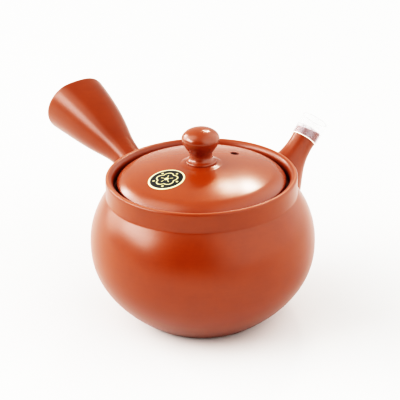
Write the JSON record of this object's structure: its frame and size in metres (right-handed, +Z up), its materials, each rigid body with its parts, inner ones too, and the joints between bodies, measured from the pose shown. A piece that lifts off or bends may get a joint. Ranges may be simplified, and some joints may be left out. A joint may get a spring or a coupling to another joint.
{
  "type": "side-handled teapot",
  "caption": "Round clay teapot with a hollow side handle, a short spout with a clear protective tube, a strainer inside, and a domed lid with a knob that lifts out of a gallery.",
  "frame": {"origin": "middle of the flat foot, on the pot's own axis", "axes": "+Z up along the pot's axis, +X along the spout in plan, the handle 80 degrees round from it towards +Y"},
  "size_m": [0.1391, 0.189, 0.0969],
  "materials": {
    "clay": "unglazed red clay, burnished to a satin sheen",
    "strainer_steel": "bright stainless sheet and fine screen",
    "label_paper": "black paper with a pale gold border",
    "clear_vinyl": "clear soft vinyl tube"
  },
  "bodies": {
    "pot": {"body": "clay", "handle": "clay", "spout": "clay", "strainer_ring": "strainer_steel", "strainer_mesh": "strainer_steel"},
    "lid": {"lid": "clay", "lid_knob": "clay", "lid_label": "label_paper"},
    "cap": {"spout_cap": "clear_vinyl"}
  },
  "joints": [
    {"name": "lid_lift", "type": "slide", "parent": "pot", "child": "lid", "axis": [0, 0, 1], "range_m": [0, 0.1]},
    {"name": "cap_pull", "type": "slide", "parent": "pot", "child": "cap", "axis": [0.7157, 0, 0.6984], "range_m": [0, 0.025]}
  ]
}
